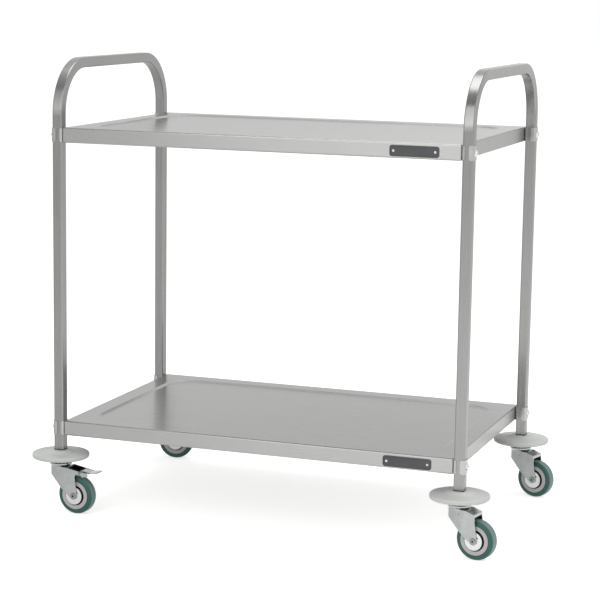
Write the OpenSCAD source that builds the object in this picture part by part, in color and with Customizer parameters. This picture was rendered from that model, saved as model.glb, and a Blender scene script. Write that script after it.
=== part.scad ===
// Two-shelf serving trolley. Millimetres, +Z up, +X along the length.
// Origin: on the floor, midway between the four legs.

/* [Frame] */
// Length over the two end frames
frame_length = 860; // [700:1:1000]
// Width over the legs of one end frame
frame_width = 522; // [440:1:640]
// Outer size of the square tube
tube_size = 21; // [18:0.5:26]
// Wall of the square tube
tube_wall = 1.2; // [1:0.1:2]
// Outer corner radius of the square tube
tube_corner = 3; // [2.2:0.1:4]
// Centreline radius of the two handle bends
bend_radius = 100; // [60:1:130]
// Leg below the bottom shelf's edge
leg_drop = 30; // [20:1:80]
// Clear height between the shelves
shelf_clear_height = 563; // [380:1:700]
// Handle bar's top above the top shelf
handle_rise = 135; // [110:1:200]

/* [Shelves] */
// Depth of the folded edge
shelf_edge = 30; // [26:0.5:40]
// Sheet thickness
shelf_sheet = 1.2; // [0.8:0.1:1.5]
// Outer radius of the folds
shelf_fold = 3; // [2:0.1:4]
// Inward lip under the folded edge
shelf_lip = 12; // [6:0.5:20]
// Flat rim round the recess
recess_border = 38.5; // [20:0.5:60]
// Depth of the recess
recess_depth = 3; // [2:0.5:6]
// Corner radius of the recess at the rim
recess_corner = 60; // [12:1:80]
// Run of the recess's sloping wall
recess_slope = 7; // [2:0.5:9]
// Width of the stiffening channel's crown
channel_width = 50; // [30:1:90]
// Depth of the stiffening channel
channel_depth = 17; // [8:0.5:18]
// Width of each welded flange of the channel
channel_flange = 14; // [8:1:24]
// Channel's end short of the shelf's end
channel_setback = 40; // [20:1:90]

/* [Shelf joints] */
// Sheet of the saddles
saddle_sheet = 1.5; // [1:0.1:2]
// Height of the saddles
saddle_height = 28; // [22:0.5:30]
// Outer saddle's reach round the leg
outer_wrap = 8.5; // [5:0.1:9]
// Inner saddle's reach round the leg
inner_wrap = 4.5; // [3.5:0.1:6]
// Radius of the saddle flanges' ends
saddle_round = 4; // [1:0.1:4]
// Bolt diameter
bolt_d = 6; // [5:0.5:8]
// Bolt hole's clearance on the radius
bolt_clearance = 0.2; // [0.1:0.05:0.5]
// Diameter of the bolt's domed head
bolt_head_d = 14.5; // [11:0.5:16]
// Height of the bolt's domed head
bolt_head_h = 4.8; // [2.5:0.1:6]
// Bolt end proud of its nut
bolt_tail = 2; // [0.5:0.1:4]
// Nut across flats
nut_flats = 10; // [9:0.5:13]
// Nut thickness
nut_height = 5; // [4:0.1:7]

/* [Leg ends and buffers] */
// Flange of the leg plug under the tube
plug_flange = 2; // [1:0.1:4]
// Plug's length inside the tube
plug_depth = 40; // [25:1:60]
// Plug's clearance in the tube
plug_clearance = 0.05; // [0.02:0.01:0.2]
// Diameter of the buffer disc
buffer_d = 116; // [90:1:140]
// Height of the buffer's rim
buffer_rim = 8; // [7:0.1:12]
// Rise of the buffer's domed top
buffer_rise = 7.5; // [3:0.1:10]
// Radius of the buffer's rim edges
buffer_edge = 3; // [1:0.1:3.4]
// Flat land that the leg stands on, past the tube's corner
land_margin = 1.5; // [0.5:0.1:4]
// Depth of the coring under the buffer
coring_depth = 3; // [1:0.1:4]
// Ribs across the coring
coring_ribs = 8; // [4:1:12]
// Thickness of a coring rib
coring_rib = 2; // [1.5:0.1:4]

/* [Swivels] */
// Diameter of the caster stem
stem_d = 10; // [8:0.5:12]
// Swivel's running clearance on the radius
swivel_clearance = 0.06; // [0.03:0.01:0.1]
// Diameter of the upper cup at its top
cup_d = 52; // [50:0.5:60]
// Taper of the cup and the crown on the radius
cup_taper = 2.5; // [1:0.1:3]
// Height of the upper cup
cup_height = 7.5; // [6.5:0.1:10]
// Diameter of the swivel balls
ball_d = 5; // [4.5:0.1:5.2]
// Swivel balls in a race
ball_count = 18; // [10:1:20]
// Radius of the ball circle
race_radius = 18.5; // [17.5:0.1:18.9]
// Gap between a ball and its grooves
race_clearance = 0.15; // [0.1:0.01:0.3]
// Open gap between cup and crown
race_gap = 3; // [2.2:0.1:3.4]
// Diameter of the fork's crown
crown_d = 46; // [44:0.5:49]
// Height of the crown above the fork's top
crown_height = 7; // [5.5:0.1:9]
// Diameter of the king pin's riveted head
king_head_d = 16; // [14:0.5:18]
// Thickness of the king pin's head
king_head_h = 3; // [2:0.1:4]
// Play under the fork's top
king_play = 0.1; // [0.05:0.01:0.3]

/* [Forks] */
// Axle's offset behind the swivel axis
trail = 38.5; // [34:0.5:44]
// Width over the fork's cheeks
fork_width = 36; // [35:0.5:40]
// Sheet of the fork
fork_sheet = 2; // [1.5:0.1:2.5]
// Fork's top above the tyre
fork_over_tyre = 18; // [14:0.5:28]
// Nose in front of the swivel axis
nose_reach = 22; // [19:0.5:24]
// Radius of the round nose
nose_radius = 7; // [5:0.5:10]
// Bend from each cheek into the nose, behind the swivel axis
crease_at = 19; // [14:0.5:22]
// Radius of that bend
crease_radius = 32; // [24:1:40]
// Diameter of the pressed dimples beside the nose
dimple_d = 5.4; // [3:0.1:7]
// Depth of the dimples
dimple_depth = 1; // [0.4:0.1:1.4]
// Depth of the nose
nose_depth = 18; // [12:0.5:24]
// Radius of the eye round the axle
eye_radius = 8; // [7.5:0.1:10]
// Flat part of the fork's top behind the swivel axis
top_flat = 22; // [18:0.5:26]
// Rear end of the hood, past the axle
hood_past_axle = 1.5; // [0:0.1:4]
// Fall of the hood to its rear end
hood_fall = 5.5; // [4:0.5:10]
// Depth of the lip at the hood's end
hood_lip = 6; // [3:0.5:8]
// Chamfer on the hood's rear corners
hood_corner = 1.6; // [0.5:0.1:2]

/* [Wheels] */
// Wheel diameter
wheel_d = 78; // [70:0.5:90]
// Width of the tyre
tyre_width = 23; // [20:0.5:25]
// Radius of the tyre's shoulders
tyre_shoulder = 6.5; // [3:0.1:7]
// Tyre's depth over the core
tyre_depth = 10.5; // [7.5:0.1:14]
// Width of the core's rim ring
rim_ring = 7.5; // [6:0.1:8.5]
// Rim ring proud of the tyre's side
rim_proud = 0.6; // [0:0.1:0.8]
// Thickness of the core's web
web_thickness = 10; // [6:0.5:14]
// Diameter of the hub
hub_d = 22; // [20:0.5:24]
// Diameter of the axle
axle_d = 8; // [6:0.5:9]
// Diameter of the axle's riveted heads
axle_head_d = 13; // [11:0.5:15]
// Thickness of the axle's heads
axle_head_h = 1.8; // [1:0.1:2.5]
// Bore through the hollow axle
axle_bore_d = 4; // [2:0.1:5]
// Wall of the sleeve on the axle
sleeve_wall = 2; // [1.5:0.1:2.5]
// Running clearance of the bearing on the radius
bearing_clearance = 0.05; // [0.02:0.01:0.1]
// Wall of the plain bearing
bearing_wall = 2; // [1.5:0.1:2.5]
// Thickness of the dust ring on each side of the web
dust_ring = 2; // [1:0.1:4]
// Dust ring's clearance to the rim ring
dust_clearance = 0.2; // [0.1:0.05:0.6]
// End play beside the hub
hub_play = 0.8; // [0.5:0.1:0.95]
// Radius of the thread guards
guard_radius = 18; // [15:0.1:18.8]
// Sheet of the thread guards
guard_sheet = 1.2; // [0.8:0.1:1.5]
// Depth of the thread guards' rim
guard_rim = 3; // [2:0.1:4]
// Diameter of the hole in a thread guard
guard_hole_d = 3.6; // [2:0.1:4.5]

/* [Brakes] */
// Rear end of the brake arms behind the swivel axis
arm_end = 68; // [66:0.5:74]
// Fall of the brake arms to their ends
arm_fall = 8; // [4:0.5:10]
// Depth of the brake arm at its end
arm_depth = 7; // [6:0.1:8]
// Radius in the arm's inner corner
arm_corner = 8; // [4:0.5:9]
// Pedal's pivot behind the swivel axis
pivot_back = 53; // [51:0.5:57]
// Diameter of the pedal's pin
pin_d = 4; // [3:0.1:5]
// Pin head's height and overhang
pin_head = 1.2; // [0.8:0.1:2]
// Running clearance of the pin on the radius
pin_clearance = 0.05; // [0.03:0.01:0.1]
// Wall of the pedal's pivot barrel
barrel_wall = 2.2; // [1.5:0.1:2.4]
// Pedal barrel's play beside each arm
barrel_play = 0.5; // [0.3:0.1:0.9]
// Sheet of the pedal
pedal_sheet = 2.4; // [1.5:0.1:3]
// Width of the pedal's tongue
pedal_width = 22; // [16:0.5:26]
// Pedal tip behind its pivot
pedal_reach = 36; // [32:0.5:50]
// Height of the pedal's turned-up tip above its pivot
pedal_lift = 4.5; // [2:0.5:10]
// Width of the brake shoe
shoe_width = 18; // [12:0.5:20]
// Pedal's travel from free to braked, in degrees
brake_travel = 25; // [20:1:30]
// Shoe's gap to the tyre when braked
brake_gap = 0.4; // [0.3:0.05:0.8]

/* [Rest pose] */
// Swivel angle of the front left caster
swivel_front_left = -4; // [-20:1:20]
// Swivel angle of the front right caster
swivel_front_right = -11; // [-20:1:20]
// Swivel angle of the rear left caster
swivel_rear_left = 10; // [-20:1:20]
// Swivel angle of the rear right caster
swivel_rear_right = -15; // [-20:1:20]

/* [Hidden] */
$fn = 64;
through = 200;
skin = 1;
bite = 0.02;

// Heights above the floor, from the wheels up
axle_z = wheel_d / 2;
fork_top = wheel_d + fork_over_tyre;
crown_top = fork_top + crown_height;
ball_z = crown_top + race_gap / 2;
cup_bottom = crown_top + race_gap;
cup_top = cup_bottom + cup_height;
buffer_top = cup_top + buffer_rim + buffer_rise;
tube_end = buffer_top + plug_flange;
low_shelf_top = tube_end + leg_drop + shelf_edge;
top_shelf_top = low_shelf_top + shelf_clear_height + shelf_edge;
handle_z = top_shelf_top + handle_rise - tube_size / 2;
bend_z = handle_z - bend_radius;

// Places across the floor
leg_x = frame_length / 2 - tube_size / 2;
leg_y = frame_width / 2 - tube_size / 2;
shelf_length = frame_length - 2 * (tube_size + saddle_sheet);
shelf_tops = [low_shelf_top, top_shelf_top];

// Tube, bolts and plugs
tube_inner = tube_size - 2 * tube_wall;
bolt_hole_r = bolt_d / 2 + bolt_clearance;
land_radius = (tube_size / 2 - tube_corner) * sqrt(2) + tube_corner + land_margin;
groove_r = ball_d / 2 + race_clearance;

// Wheel's radii from the tread inwards
core_radius = wheel_d / 2 - tyre_depth;
recess_radius = core_radius - rim_ring;
sleeve_radius = axle_d / 2 + sleeve_wall;
bearing_inner = sleeve_radius + bearing_clearance;
bearing_outer = bearing_inner + bearing_wall;
cheek_inner = fork_width / 2 - fork_sheet;
guard_inner = cheek_inner - guard_sheet;
hub_half = guard_inner - hub_play;

// Fork's nose: angle of the drawn-in sides to the cheeks, and the dimples' places on them
nose_gap = [crease_at + nose_reach - nose_radius, fork_width / 2 - crease_radius];
nose_step = crease_radius - nose_radius;
nose_side_angle = atan2(nose_gap[1], nose_gap[0]) + asin(nose_step / norm(nose_gap));
nose_run = sqrt(norm(nose_gap) * norm(nose_gap) - nose_step * nose_step);
dimple_r = (dimple_d * dimple_d / 4 + dimple_depth * dimple_depth) / (2 * dimple_depth);
dimple_z = fork_top - fork_sheet - dimple_d;

// Brake: the shoe's tip is nearest the tyre on the line from pivot to axle
hood_end = trail + hood_past_axle;
arm_top = fork_top - arm_fall;
arm_low = arm_top - arm_depth;
arm_rise = arm_fall / (arm_end - top_flat);
pivot_z = arm_low + (arm_end - pivot_back) * arm_rise + arm_depth / 2;
pivot_to_axle = norm([pivot_back - trail, pivot_z - axle_z]);
pivot_angle = atan2(axle_z - pivot_z, trail - pivot_back);
shoe_reach = pivot_to_axle - wheel_d / 2 - brake_gap;
shoe_angle = pivot_angle + brake_travel;
barrel_radius = pin_d / 2 + pin_clearance + barrel_wall;
barrel_half = cheek_inner - barrel_play;

CORNERS = ["front_left", "front_right", "rear_left", "rear_right"];
BRAKED = ["front_left", "rear_left"];
// Side along X, side along Y and swivel angle of a corner
function corner_side_x(c) = (c == "front_left" || c == "rear_left") ? -1 : 1;
function corner_side_y(c) = (c == "front_left" || c == "front_right") ? -1 : 1;
function corner_swivel(c) =
    c == "front_left" ? swivel_front_left :
    c == "front_right" ? swivel_front_right :
    c == "rear_left" ? swivel_rear_left : swivel_rear_right;
function is_braked(c) = len([for (b = BRAKED) if (b == c) b]) > 0;

// Point where a line from a point runs into a circle, a hair inside the tangent, so that
// both overlap; turn is -1 on the circle's right, 1 on its left
function tangent_point(from, centre, radius, turn) =
    let (gap = centre - from, d = norm(gap), r = radius - bite)
    let (angle = atan2(gap[1], gap[0]) + turn * asin(r / d))
    from + sqrt(d * d - r * r) * [cos(angle), sin(angle)];

// Outlines and solids that several pieces share

module rounded_rect(w, h, r) {
    square([w, h - 2 * r], center = true);
    square([w - 2 * r, h], center = true);
    for (x = [-1, 1], y = [-1, 1]) {
        translate([x * (w / 2 - r), y * (h / 2 - r)]) circle(r);
    }
}

// Box centred on X and Y, standing on Z, with every edge rounded
module rounded_box(l, w, h, r) {
    translate([0, 0, r]) linear_extrude(h - 2 * r) rounded_rect(l, w, r);
    translate([0, 0, h / 2]) cube([l - 2 * r, w - 2 * r, h], center = true);
    for (z = [r, h - r]) {
        for (side = [-1, 1]) {
            translate([0, side * (w / 2 - r), z]) {
                rotate([0, 90, 0]) cylinder(h = l - 2 * r, r = r, center = true);
            }
            translate([side * (l / 2 - r), 0, z]) {
                rotate([90, 0, 0]) cylinder(h = w - 2 * r, r = r, center = true);
            }
            for (end = [-1, 1]) {
                translate([side * (l / 2 - r), end * (w / 2 - r), z]) sphere(r);
            }
        }
    }
}

// Tray shape with sloping walls: corner centres at cx and cy, radius r1 at z1 and r2 at z2
module sloped_tray(cx, cy, r1, z1, r2, z2) {
    for (x = [-1, 1], y = [-1, 1]) {
        translate([x * cx, y * cy, z1]) cylinder(h = z2 - z1, r1 = r1, r2 = r2);
    }
    rotate([90, 0, 90]) linear_extrude(2 * cx, center = true) {
        polygon([[-cy - r1, z1], [cy + r1, z1], [cy + r2, z2], [-cy - r2, z2]]);
    }
    rotate([90, 0, 0]) linear_extrude(2 * cy, center = true) {
        polygon([[-cx - r1, z1], [cx + r1, z1], [cx + r2, z2], [-cx - r2, z2]]);
    }
}

// Children are drawn in a right front leg's frame: +X outwards, origin at the bolt
module at_shelf_joints(shelf_top) {
    for (x = [-1, 1], y = [-1, 1]) {
        translate([x * leg_x, y * leg_y, shelf_top - shelf_edge / 2]) {
            mirror([x < 0 ? 1 : 0, 0, 0]) children();
        }
    }
}

module at_leg(c) {
    translate([corner_side_x(c) * leg_x, corner_side_y(c) * leg_y, 0]) children();
}

module at_legs() {
    for (c = CORNERS) at_leg(c) children();
}

// Children are drawn in a caster's frame: swivel axis on Z, wheel trailing along +X
module at_caster(c) {
    at_leg(c) rotate([0, 0, corner_swivel(c)]) children();
}

// Children are drawn about the axle: Z lies along it
module at_axle(c) {
    at_caster(c) translate([trail, 0, axle_z]) rotate([90, 0, 0]) children();
}

// Frame

module tube_section() {
    difference() {
        rounded_rect(tube_size, tube_size, tube_corner);
        rounded_rect(tube_inner, tube_inner, tube_corner - tube_wall);
    }
}

// One tube: leg, bend, handle bar, bend and leg, drilled for the shelf bolts
module end_frame(side) {
    color("silver") translate([side * leg_x, 0, 0]) difference() {
        union() {
            for (y = [-1, 1]) {
                translate([0, y * leg_y, tube_end]) {
                    linear_extrude(bend_z - tube_end) tube_section();
                }
                mirror([0, y < 0 ? 1 : 0, 0]) translate([0, leg_y - bend_radius, bend_z]) {
                    rotate([90, 0, 90]) rotate_extrude(angle = 90, $fn = 96) {
                        translate([bend_radius, 0]) tube_section();
                    }
                }
            }
            translate([0, 0, handle_z]) rotate([90, 0, 0]) {
                linear_extrude(2 * (leg_y - bend_radius), center = true) tube_section();
            }
        }
        for (z = shelf_tops, y = [-1, 1]) {
            translate([0, y * leg_y, z - shelf_edge / 2]) rotate([0, 90, 0]) {
                cylinder(h = 2 * tube_size, r = bolt_hole_r, center = true);
            }
        }
    }
}

// Shelf folded from one sheet, with a pressed recess; z = 0 is the rim
module shelf(shelf_top) {
    rim_cx = shelf_length / 2 - recess_border - recess_corner;
    rim_cy = frame_width / 2 - recess_border - recess_corner;
    fall = recess_slope / recess_depth;
    wall = shelf_sheet * sqrt(1 + fall * fall);
    color("lightgray") translate([0, 0, shelf_top]) difference() {
        union() {
            difference() {
                translate([0, 0, -shelf_edge]) {
                    rounded_box(shelf_length, frame_width, shelf_edge, shelf_fold);
                }
                translate([0, 0, shelf_sheet - shelf_edge]) {
                    rounded_box(
                        shelf_length - 2 * shelf_sheet, frame_width - 2 * shelf_sheet,
                        shelf_edge - 2 * shelf_sheet, shelf_fold - shelf_sheet
                    );
                }
                translate([0, 0, -shelf_edge]) cube(
                    [shelf_length - 2 * shelf_lip, frame_width - 2 * shelf_lip, shelf_edge],
                    center = true
                );
            }
            sloped_tray(
                rim_cx, rim_cy,
                recess_corner + wall - fall * (recess_depth + shelf_sheet),
                -recess_depth - shelf_sheet,
                recess_corner + wall - fall * shelf_sheet / 2, -shelf_sheet / 2
            );
        }
        sloped_tray(
            rim_cx, rim_cy,
            recess_corner - recess_slope, -recess_depth,
            recess_corner + fall * skin, skin
        );
        for (x = [-1, 1], y = [-1, 1]) {
            translate([x * shelf_length / 2, y * leg_y, -shelf_edge / 2]) {
                rotate([0, 90, 0]) cylinder(h = 4 * shelf_sheet, r = bolt_hole_r, center = true);
            }
        }
    }
}

// Hat channel welded along the underside of the recess
module channel(shelf_top) {
    seat = shelf_top - recess_depth - shelf_sheet;
    color("gainsboro") translate([0, 0, seat]) rotate([90, 0, 90]) {
        linear_extrude(shelf_length - 2 * channel_setback, center = true) {
            translate([-channel_width / 2, -channel_depth]) square([channel_width, shelf_sheet]);
            for (side = [-1, 1]) {
                translate([side * (channel_width - shelf_sheet) / 2, -channel_depth / 2]) {
                    square([shelf_sheet, channel_depth], center = true);
                }
                translate([side * (channel_width + channel_flange) / 2, -shelf_sheet / 2]) {
                    square([channel_flange + skin, shelf_sheet], center = true);
                }
            }
        }
    }
}

// Shelf joints

// U-shaped saddle that hugs the leg; it reaches wrap mm past the leg's face
module saddle(wrap) {
    reach = tube_size / 2 - wrap;
    difference() {
        intersection() {
            linear_extrude(saddle_height, center = true) difference() {
                rounded_rect(
                    tube_size + 2 * saddle_sheet, tube_size + 2 * saddle_sheet,
                    tube_corner + saddle_sheet
                );
                rounded_rect(tube_size, tube_size, tube_corner);
            }
            rotate([90, 0, 0]) linear_extrude(2 * tube_size, center = true) {
                translate([reach + tube_size / 2, 0]) {
                    rounded_rect(tube_size, saddle_height, saddle_round);
                }
            }
        }
        rotate([0, 90, 0]) cylinder(h = 2 * tube_size, r = bolt_hole_r, center = true);
    }
}

module outer_saddles(shelf_top) {
    color("silver") at_shelf_joints(shelf_top) saddle(outer_wrap);
}

module inner_saddles(shelf_top) {
    color("silver") at_shelf_joints(shelf_top) mirror([1, 0, 0]) saddle(inner_wrap);
}

module shelf_bolts(shelf_top) {
    dome = (bolt_head_h * bolt_head_h + bolt_head_d * bolt_head_d / 4) / (2 * bolt_head_h);
    grip = tube_size + 2 * saddle_sheet + shelf_sheet;
    color("whitesmoke") at_shelf_joints(shelf_top) {
        translate([tube_size / 2 + saddle_sheet, 0, 0]) rotate([0, 90, 0]) {
            intersection() {
                cylinder(h = bolt_head_h, d = bolt_head_d);
                translate([0, 0, bolt_head_h - dome]) sphere(dome);
            }
            translate([0, 0, -grip - nut_height - bolt_tail]) {
                cylinder(h = grip + nut_height + bolt_tail + bolt_head_h / 2, d = bolt_d);
            }
        }
    }
}

module shelf_nuts(shelf_top) {
    seat = tube_size / 2 + saddle_sheet + shelf_sheet;
    color("lightgray") at_shelf_joints(shelf_top) {
        translate([-seat - nut_height, 0, 0]) rotate([0, 90, 0]) difference() {
            cylinder(h = nut_height, d = nut_flats / cos(30), $fn = 6);
            translate([0, 0, -skin]) cylinder(h = nut_height + 2 * skin, d = bolt_d);
        }
    }
}

// Leg ends and swivels

module leg_plugs() {
    inner = tube_inner - 2 * plug_clearance;
    color("dimgray") at_legs() translate([0, 0, buffer_top]) difference() {
        union() {
            linear_extrude(plug_flange) rounded_rect(tube_size, tube_size, tube_corner);
            linear_extrude(plug_flange + plug_depth) {
                rounded_rect(inner, inner, tube_corner - tube_wall - plug_clearance);
            }
        }
        translate([0, 0, -skin]) cylinder(h = through, d = stem_d);
    }
}

// Moulded disc: rounded rim, shallow dome, flat land under the leg, cored underside
module buffer_disc(c) {
    radius = buffer_d / 2;
    flat = radius - buffer_edge;
    dome = (flat * flat + buffer_rise * buffer_rise) / (2 * buffer_rise);
    cored_in = cup_d / 2 + coring_rib;
    cored_out = flat - 2 * coring_rib;
    color("darkgray") at_leg(c) translate([0, 0, cup_top]) difference() {
        union() {
            rotate_extrude($fn = 96) {
                square([flat, buffer_rim]);
                for (z = [buffer_edge, buffer_rim - buffer_edge]) {
                    translate([flat, z]) circle(buffer_edge);
                }
                translate([0, buffer_edge]) square([radius, buffer_rim - 2 * buffer_edge]);
                intersection() {
                    translate([0, buffer_rim + buffer_rise - dome]) circle(dome, $fn = 180);
                    square([flat, buffer_rim + buffer_rise]);
                }
                square([land_radius, buffer_rim + buffer_rise]);
            }
        }
        cylinder(h = through, d = stem_d, center = true);
        difference() {
            cylinder(h = 2 * coring_depth, r = cored_out, center = true);
            cylinder(h = 2 * coring_depth, r = cored_in, center = true);
            for (i = [0:coring_ribs - 1]) {
                rotate([0, 0, (i + 0.5) * 360 / coring_ribs]) {
                    translate([radius / 2, 0, 0]) {
                        cube([radius, coring_rib, 2 * coring_depth], center = true);
                    }
                }
            }
        }
    }
}

// Stem in the leg plug and king pin through the fork, riveted over below
module caster_stems() {
    head_top = fork_top - fork_sheet - king_play;
    stem_top = tube_end + plug_depth - stem_d / 2;
    tip = stem_d / 5;
    color("lightslategray") at_legs() {
        translate([0, 0, head_top - king_head_h]) cylinder(h = king_head_h, d = king_head_d);
        translate([0, 0, head_top]) cylinder(h = stem_top - head_top, d = stem_d);
        translate([0, 0, stem_top]) cylinder(h = tip, d1 = stem_d, d2 = stem_d - 2 * tip);
    }
}

// Pressed cup under the buffer; its underside holds the upper ball groove
module swivel_cups() {
    top_r = cup_d / 2;
    low_r = top_r - cup_taper;
    seat = cup_bottom + race_clearance;
    skirt = race_radius + ball_d / 2 + (low_r - race_radius - ball_d / 2) / 3;
    boss = race_radius - ball_d;
    color("silver") at_legs() rotate_extrude() difference() {
        polygon([
            [stem_d / 2, cup_top], [top_r, cup_top], [top_r, cup_top - cup_taper],
            [low_r, cup_bottom], [skirt, cup_bottom], [skirt, seat],
            [boss, seat], [boss, cup_top - cup_height / 2], [stem_d / 2, cup_top - cup_height / 2]
        ]);
        translate([race_radius, ball_z]) circle(groove_r);
    }
}

module swivel_balls() {
    color("white") at_legs() for (i = [0:ball_count - 1]) {
        rotate([0, 0, i * 360 / ball_count]) translate([race_radius, 0, ball_z]) {
            sphere(d = ball_d, $fn = 24);
        }
    }
}

// Forks

// One side of the fork's plan, set in by inset and open on the other side: flat cheek, bend,
// side drawn in to the nose. The drawn-in side touches the bend's circle and the nose's.
module fork_side_outline(inset) {
    half = fork_width / 2;
    bend_at = [crease_at, half - crease_radius];
    nose_at = [nose_radius - nose_reach, 0];
    side_out = [-sin(nose_side_angle), cos(nose_side_angle)];
    nose_end = nose_at + (nose_radius - inset - bite) * side_out;
    translate([crease_at, -through]) square([through, through + half - inset]);
    translate(bend_at) circle(crease_radius - inset, $fn = 180);
    polygon([
        bend_at + [skin, 0], bend_at + (crease_radius - inset - bite) * side_out, nose_end,
        [nose_end[0], -through], [crease_at + skin, -through]
    ]);
}

module fork_outline(inset) {
    nose_back = nose_reach - nose_radius + (nose_radius - inset) * sin(nose_side_angle);
    intersection() {
        fork_side_outline(inset);
        mirror([0, 1]) fork_side_outline(inset);
        translate([-nose_back, -through]) square([2 * through, 2 * through]);
    }
    translate([nose_radius - nose_reach, 0]) circle(nose_radius - inset);
}

// Side of the fork as X and Z: from the nose along the top to the eye round the axle
module hooded_side() {
    axle_at = [trail, axle_z];
    nose_low = [-nose_reach, fork_top - nose_depth];
    lip_low = [hood_end, fork_top - hood_fall - hood_lip];
    polygon([
        nose_low, [-nose_reach, fork_top], [top_flat, fork_top],
        [hood_end - hood_corner, fork_top - hood_fall],
        [hood_end, fork_top - hood_fall - hood_corner], lip_low,
        tangent_point(lip_low, axle_at, eye_radius, 1), axle_at,
        tangent_point(nose_low, axle_at, eye_radius, -1)
    ]);
    translate(axle_at) circle(eye_radius);
}

module braked_side() {
    axle_at = [trail, axle_z];
    nose_low = [-nose_reach, fork_top - nose_depth];
    arm_at = [arm_end, arm_low + arm_depth / 2];
    corner_at = [hood_end + fork_sheet, arm_low + (arm_end - hood_end) * arm_rise];
    corner_low = corner_at - [0, arm_corner];
    corner_out = corner_at + [arm_corner, -(arm_corner + arm_depth) * arm_rise];
    polygon([
        nose_low, [-nose_reach, fork_top], [top_flat, fork_top],
        tangent_point([top_flat, fork_top], arm_at, arm_depth / 2, 1), arm_at,
        tangent_point(corner_out, arm_at, arm_depth / 2, -1), corner_out,
        for (i = [1:7]) let (u = i / 8)
            (1 - u) * (1 - u) * corner_out + 2 * u * (1 - u) * corner_at + u * u * corner_low,
        corner_low, tangent_point(corner_low, axle_at, eye_radius, 1), axle_at,
        tangent_point(nose_low, axle_at, eye_radius, -1)
    ]);
    translate(arm_at) circle(d = arm_depth);
    translate(axle_at) circle(eye_radius);
}

// Hollow between the cheeks: closed above by the top and, on a hooded fork, behind by the lip
module hooded_hollow() {
    roof = fork_top - fork_sheet;
    lip_inside = hood_end - fork_sheet;
    lip_low = fork_top - hood_fall - hood_lip;
    polygon([
        [-through, -skin], [-through, roof], [top_flat, roof],
        [lip_inside, roof - hood_fall], [lip_inside, lip_low], [through, lip_low], [through, -skin]
    ]);
}

module braked_hollow() {
    roof = fork_top - fork_sheet;
    polygon([
        [-through, -skin], [-through, roof], [top_flat, roof],
        [top_flat, through], [through, through], [through, -skin]
    ]);
}

// Crown: dish that carries the lower ball groove
module crown() {
    top_r = crown_d / 2;
    low_r = fork_width / 2;
    boss = race_radius - ball_d;
    bore = stem_d / 2 + swivel_clearance;
    rotate_extrude() difference() {
        polygon([
            [bore, fork_top - fork_sheet], [low_r, fork_top - fork_sheet], [low_r, fork_top],
            [top_r, crown_top - cup_taper], [top_r, crown_top], [boss, crown_top],
            [boss, fork_top + fork_sheet], [bore, fork_top + fork_sheet]
        ]);
        translate([race_radius, ball_z]) circle(groove_r);
    }
}

module fork(c) {
    color("silver") at_caster(c) difference() {
        union() {
            difference() {
                intersection() {
                    linear_extrude(fork_top) fork_outline(0);
                    rotate([90, 0, 0]) linear_extrude(2 * fork_width, center = true) {
                        if (is_braked(c)) braked_side();
                        else hooded_side();
                    }
                }
                intersection() {
                    translate([0, 0, -skin]) linear_extrude(through) fork_outline(fork_sheet);
                    rotate([90, 0, 0]) linear_extrude(2 * fork_width, center = true) {
                        if (is_braked(c)) braked_hollow();
                        else hooded_hollow();
                    }
                }
                cylinder(h = through, d = stem_d + 2 * swivel_clearance);
                for (side = [-1, 1]) mirror([0, side < 0 ? 1 : 0, 0]) {
                    translate([nose_radius - nose_reach, 0, dimple_z]) rotate([0, 0, nose_side_angle]) {
                        translate([nose_run - dimple_d / 2, nose_radius + dimple_r - dimple_depth, 0]) {
                            sphere(dimple_r);
                        }
                    }
                }
            }
            crown();
        }
        translate([trail, 0, axle_z]) rotate([90, 0, 0]) {
            cylinder(h = 2 * fork_width, d = axle_d, center = true);
        }
        if (is_braked(c)) translate([pivot_back, 0, pivot_z]) rotate([90, 0, 0]) {
            cylinder(h = 2 * fork_width, d = pin_d, center = true);
        }
    }
}

// Hollow rivet with a rolled head outside each cheek
module axle(c) {
    half = fork_width / 2;
    outline = [
        [axle_bore_d / 2, half + axle_head_h], [(axle_head_d - axle_head_h) / 2, half + axle_head_h],
        [axle_head_d / 2, half + axle_head_h / 2], [axle_head_d / 2, half], [axle_d / 2, half]
    ];
    color("whitesmoke") at_axle(c) rotate_extrude() {
        polygon(concat(outline, [for (i = [len(outline) - 1:-1:0]) [outline[i][0], -outline[i][1]]]));
    }
}

module axle_sleeve(c) {
    color("lightslategray") at_axle(c) difference() {
        cylinder(h = 2 * guard_inner, r = sleeve_radius, center = true);
        cylinder(h = 2 * fork_width, d = axle_d, center = true);
    }
}

// Pressed discs clamped between the sleeve and the cheeks, rims turned in to the hub
module thread_guards(c) {
    hole_at = (sleeve_radius + guard_radius) / 2 - guard_sheet;
    hole_angle = 40;
    color("gainsboro") at_axle(c) for (side = [-1, 1]) mirror([0, 0, side < 0 ? 1 : 0]) {
        difference() {
            rotate_extrude() {
                translate([axle_d / 2, guard_inner]) square([guard_radius - axle_d / 2, guard_sheet]);
                translate([guard_radius - guard_sheet, guard_inner + guard_sheet - guard_rim]) {
                    square([guard_sheet, guard_rim]);
                }
            }
            rotate([0, 0, hole_angle]) translate([hole_at, 0, 0]) {
                cylinder(h = through, d = guard_hole_d);
            }
        }
    }
}

// Wheels

// Moulded core: rim ring, deep recess, web and hub
module wheel_core(c) {
    rim_half = tyre_width / 2 + rim_proud;
    color("lightgray") at_axle(c) rotate_extrude($fn = 96) {
        translate([recess_radius, -rim_half]) square([rim_ring, 2 * rim_half]);
        translate([hub_d / 2, -web_thickness / 2]) {
            square([recess_radius - hub_d / 2 + skin, web_thickness]);
        }
        translate([bearing_outer, -hub_half]) square([hub_d / 2 - bearing_outer, 2 * hub_half]);
    }
}

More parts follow.
